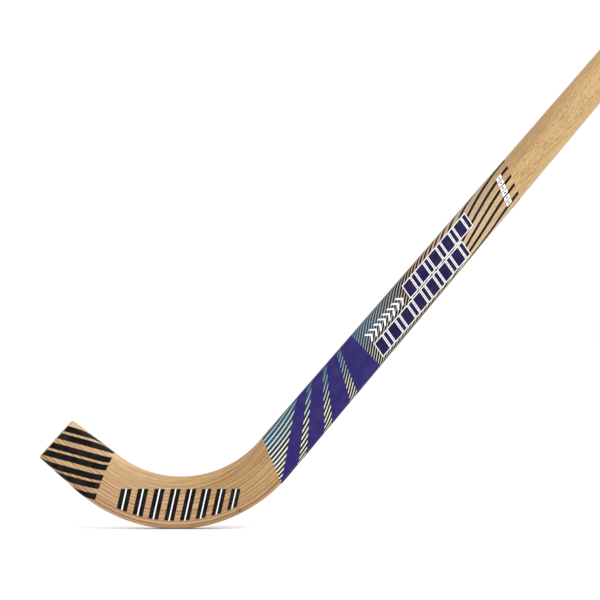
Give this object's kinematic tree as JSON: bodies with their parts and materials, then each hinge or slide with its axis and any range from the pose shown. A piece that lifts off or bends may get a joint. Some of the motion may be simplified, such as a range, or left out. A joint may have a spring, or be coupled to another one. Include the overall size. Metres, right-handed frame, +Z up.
{
  "type": "rink hockey stick",
  "caption": "Flat-sided wooden rink hockey stick with a wide bent laminated head, a tapered ash shaft and printed films on the toe, heel and lower shaft.",
  "frame": {"origin": "on the shaft's centre line in the middle of the grip, 200 mm down from the butt", "axes": "+Z up in the playing posture, +X from the toe towards the butt, Y square to the two flat playing faces, front face towards -Y"},
  "size_m": [0.7734, 0.0204, 0.7267],
  "materials": {
    "ash_wood": "clear lacquered ash with a flat-sawn figure on the shaft",
    "veneer_wood": "darker glued veneer, lacquered flush with the leaves",
    "printed_film": "glossy printed transfer film"
  },
  "bodies": {
    "root": {"back_heel_film": "printed_film", "back_shaft_film": "printed_film", "back_toe_film": "printed_film", "front_heel_film": "printed_film", "front_shaft_film": "printed_film", "front_toe_film": "printed_film", "inner_leaf": "ash_wood", "kerf_veneer_01": "veneer_wood", "kerf_veneer_02": "veneer_wood", "kerf_veneer_03": "veneer_wood", "kerf_veneer_04": "veneer_wood", "kerf_veneer_05": "veneer_wood", "kerf_veneer_06": "veneer_wood", "kerf_veneer_07": "veneer_wood", "kerf_veneer_08": "veneer_wood", "kerf_veneer_09": "veneer_wood", "kerf_veneer_10": "veneer_wood", "kerf_veneer_11": "veneer_wood", "kerf_veneer_12": "veneer_wood", "kerf_veneer_13": "veneer_wood", "shaft_billet": "ash_wood"}
  },
  "joints": []
}
